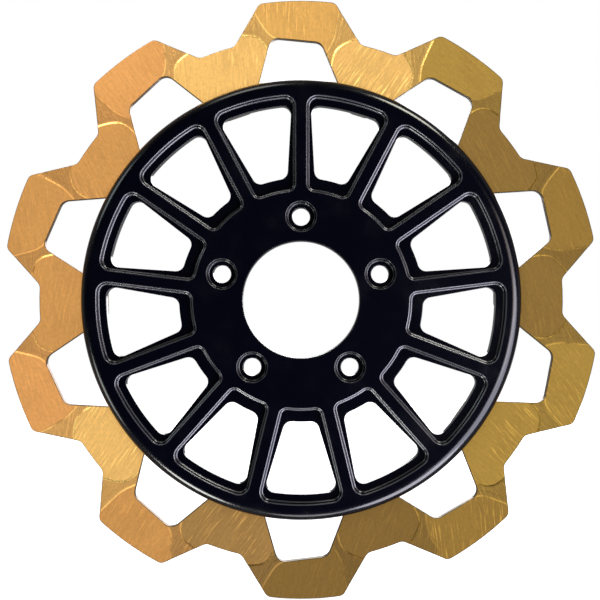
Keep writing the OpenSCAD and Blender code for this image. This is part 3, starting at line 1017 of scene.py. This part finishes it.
def makeScrew(s):
    shell = Shell()
    seat, n, shank, head = s["headFront"], s["roundCount"], s["screwRadius"], s["headRadius"]
    domeRadius = (head ** 2 + s["headHeight"] ** 2) / (2 * s["headHeight"])
    centreZ = seat - s["headHeight"] + domeRadius
    widest = math.asin(head / domeRadius)
    flat = math.asin((s["socketRadius"] + s["socketRim"]) / domeRadius)
    lipIn, lipBack = s["headLip"]
    profile = [(shank - s["screwChamfer"], s["screwFront"]), (shank, s["screwFront"] - s["screwChamfer"]),
               (shank, seat), (head - s["headSeat"], seat), (head - lipIn, seat - lipBack)]
    for k in range(1, s["domeSteps"] + 1):
        a = widest + (flat - widest) * k / s["domeSteps"]
        profile.append((domeRadius * math.sin(a), centreZ - domeRadius * math.cos(a)))
    loops = turned(profile, n, (0, s["circle"]))
    topZ, foot = profile[-1][1], profile[-1][1] + s["socketDepth"]

    def hexLoop(radius, z):
        loop = []
        for k in range(n):
            a = 360 * k / n
            reach = radius * math.cos(math.radians(30)) / math.cos(math.radians((a % 60) - 30))
            p = Vector((0, s["circle"])) + polar(reach, a)
            loop.append((p.x, p.y, z))
        return loop
    loops += [hexLoop(s["socketRadius"] + s["socketChamfer"], topZ),
              hexLoop(s["socketRadius"], topZ + s["socketChamfer"]),
              hexLoop(s["socketRadius"], foot), hexLoop(s["drillRadius"], foot + s["drillDepth"])]
    shell.stack(loops)
    shell.cap(loops[0])
    shell.cap(loops[-1])
    return shell.mesh("ringScrew")


# Tone, darker tone, roughness, lines
steelFinish = {
    "bush": ((0.62, 0.61, 0.58, 1), (0.4, 0.39, 0.37, 1), 0.28, 2500.0),
    "washer": ((0.68, 0.67, 0.66, 1), (0.5, 0.5, 0.52, 1), 0.3, 2000.0),
    "wave": ((0.32, 0.31, 0.32, 1), (0.2, 0.19, 0.24, 1), 0.32, 2200.0),
    "screw": ((0.05, 0.05, 0.055, 1), (0.09, 0.085, 0.08, 1), 0.38, 1800.0),
}
steelMarks = {
    "turn": 0.3, "length": 9.0, "stainSize": 0.006, "stainShare": 0.5,
    "smoother": 0.07, "rougher": 0.1, "bump": 0.15, "bumpDepth": 0.00003,
}


# Turned, pressed or plated steel with fine lines
def makeSteel(name, tone, dark, rough, lines, f):
    material, tree, shader, coords = newMaterial(name, Metallic=1.0, Roughness=rough)
    marks = brushed(tree, coords, f["turn"], lines, f["length"])["Marks"]
    stain = times(tree, blotches(tree, coords, f["stainSize"], 0.4, 0.7), f["stainShare"])
    feed(tree, shader, Base_Color=mixed(tree, stain, tone, dark),
         Roughness=ranged(tree, marks, 0.3, 0.7, rough - f["smoother"], rough + f["rougher"]),
         Normal=bumped(tree, marks, f["bump"], f["bumpDepth"]))
    return material


s = driveSizes
hardware = [
    ("driveBushes", makeTube(s, "bush", s["washerFront"], s["bushFront"]),
     "bush", "drive_bush", "bush_steel"),
    ("retainingWashers", makeTube(s, "washer", s["headFront"], s["washerFront"]),
     "washer", "retaining_washer", "washer_steel"),
    ("waveWashers", makeWaveWasher(s), "wave", "wave_washer", "spring_steel"),
    ("ringScrews", makeScrew(s), "screw", None, "screw_black"),
]
hardwarePieces = []
for name, mesh, finish, node, slot in hardware:
    piece = makePiece(name, {"Part": (mesh, s["count"], s["turn"], 0.0)},
                      makeSteel(finish + "Steel", *steelFinish[finish], steelMarks))
    hardwarePieces.append(piece)
    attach(piece, "carrier")
    nodes = [f"{node}_{k:02d}" for k in range(1, s["count"] + 1)] if node else ["ring_screws"]
    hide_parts(*nodes)
    if name == "waveWashers":      # the wave washers get a mesh of their own
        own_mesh(piece)
print("drive hardware done")


studio = {
    "floor": -0.1502, "floorHalf": 2.0, "grainSize": 0.2,
    "front": 0.01, "behind": 0.3, "turnsFrom": -0.5, "turnsTo": 0.6,     # soft light, stronger from behind
    "white": 1.0,
}


# Plain white floor that only the camera sees, so that it throws no grey up at the black coat
def makeFloor(setup):
    material, tree, shader, coords = newMaterial("paleFloor", Roughness=0.8)
    grain = blotches(tree, coords, setup["grainSize"], 0.3, 0.7)
    white = mixed(tree, grain, (1.0, 1.0, 1.0, 1), (0.99, 0.99, 0.99, 1))
    feed(tree, shader, Base_Color=white, Emission_Color=white)
    shader.inputs["Emission Strength"].default_value = setup["white"]
    half, z = setup["floorHalf"], setup["floor"]
    mesh = bpy.data.meshes.new("floor")
    mesh.from_pydata([(-half, -half, z), (half, -half, z), (half, half, z), (-half, half, z)], [],
                     [(0, 1, 2, 3)])
    mesh.materials.append(material)
    floor = helperObject("floor", mesh)
    for ray in ("diffuse", "glossy", "transmission", "shadow"):
        setattr(floor, "visible_" + ray, False)


def makeSurroundings(setup):
    world = bpy.data.worlds.new("studioWhite")
    scene.world = world
    world.use_nodes = True
    tree = world.node_tree
    tree.nodes.clear()
    direction = addNode(tree, "ShaderNodeTexCoord", None, "Generated")
    y = addNode(tree, "ShaderNodeSeparateXYZ", {0: direction}, "Y")
    strength = ranged(tree, y, setup["turnsFrom"], setup["turnsTo"], setup["front"], setup["behind"])
    soft, plain = [addNode(tree, "ShaderNodeBackground", {"Color": (1, 1, 1, 1), "Strength": value})
                   for value in (strength, setup["white"])]
    camera = addNode(tree, "ShaderNodeLightPath", None, "Is Camera Ray")
    blend = addNode(tree, "ShaderNodeMixShader", {0: camera, 1: soft, 2: plain})
    addNode(tree, "ShaderNodeOutputWorld", {0: blend}, None)


# Soft discs in front that light the ring and its hardware: place, size, watts, colour
ringLights = {
    "ringFront": ((-0.06, -1.0, 0.06), 2.0, 12.7, (1.0, 0.99, 0.93)),
    "ringUpperLeft": ((-0.32, -0.62, 0.6), 0.3, 1.8, (1.0, 0.98, 0.9)),
}

# Soft discs round the carrier, seen in its rounded edges:
# angle from the right, angle off the axis, diameter, radiance, colour
carrierLights = {
    "distance": 0.9,
    "rows": [(240, 70, 0.3, 15.0, (1.0, 1.0, 0.95)), (300, 65, 0.5, 8.5, (0.9, 0.88, 1.0)),
             (336, 52, 0.8, 5.0, (0.84, 0.84, 1.0)), (0, 42, 0.5, 2.6, (1.0, 0.88, 0.84)),
             (60, 68, 0.3, 13.0, (1.0, 0.98, 0.84)), (104, 72, 0.3, 3.0, (1.0, 1.0, 0.92)),
             (150, 72, 0.3, 2.5, (0.85, 1.0, 1.0)), (205, 72, 0.3, 4.5, (0.95, 1.0, 0.95)),
             (272, 72, 0.3, 4.0, (0.98, 0.98, 1.0))],
}

backLights = {
    "backTop": ((0.3, 1.0, 0.5), 1.2, 12.0, (1.0, 1.0, 1.0)),
}


def addSoftLight(name, place, size, watts, colour, receivers=()):
    data = bpy.data.lights.new(name, "AREA")
    data.shape, data.size, data.energy, data.color = "DISK", size, watts, colour
    light = bpy.data.objects.new(name, data)
    light.location = place
    light.rotation_euler = (-Vector(place)).to_track_quat("-Z", "Y").to_euler()
    scene.collection.objects.link(light)
    if receivers:
        lit = bpy.data.collections.new(name + "Receivers")
        for piece in receivers:
            lit.objects.link(piece)
        light.light_linking.receiver_collection = lit


def addCarrierLights(setup, receivers):
    far = setup["distance"]
    for angle, offAxis, size, radiance, colour in setup["rows"]:
        a, off = math.radians(angle), math.radians(offAxis)
        place = (far * math.sin(off) * math.cos(a), -far * math.cos(off), far * math.sin(off) * math.sin(a))
        watts = radiance * math.pi * math.pi * (size / 2) ** 2
        addSoftLight(f"carrierLight{angle}", place, size, watts, colour, receivers)


makeFloor(studio)
makeSurroundings(studio)
for name, row in ringLights.items():
    addSoftLight(name, *row, receivers=[ring, *hardwarePieces])
addCarrierLights(carrierLights, [carrier])
for name, row in backLights.items():
    addSoftLight(name, *row)
print("lights and floor done")
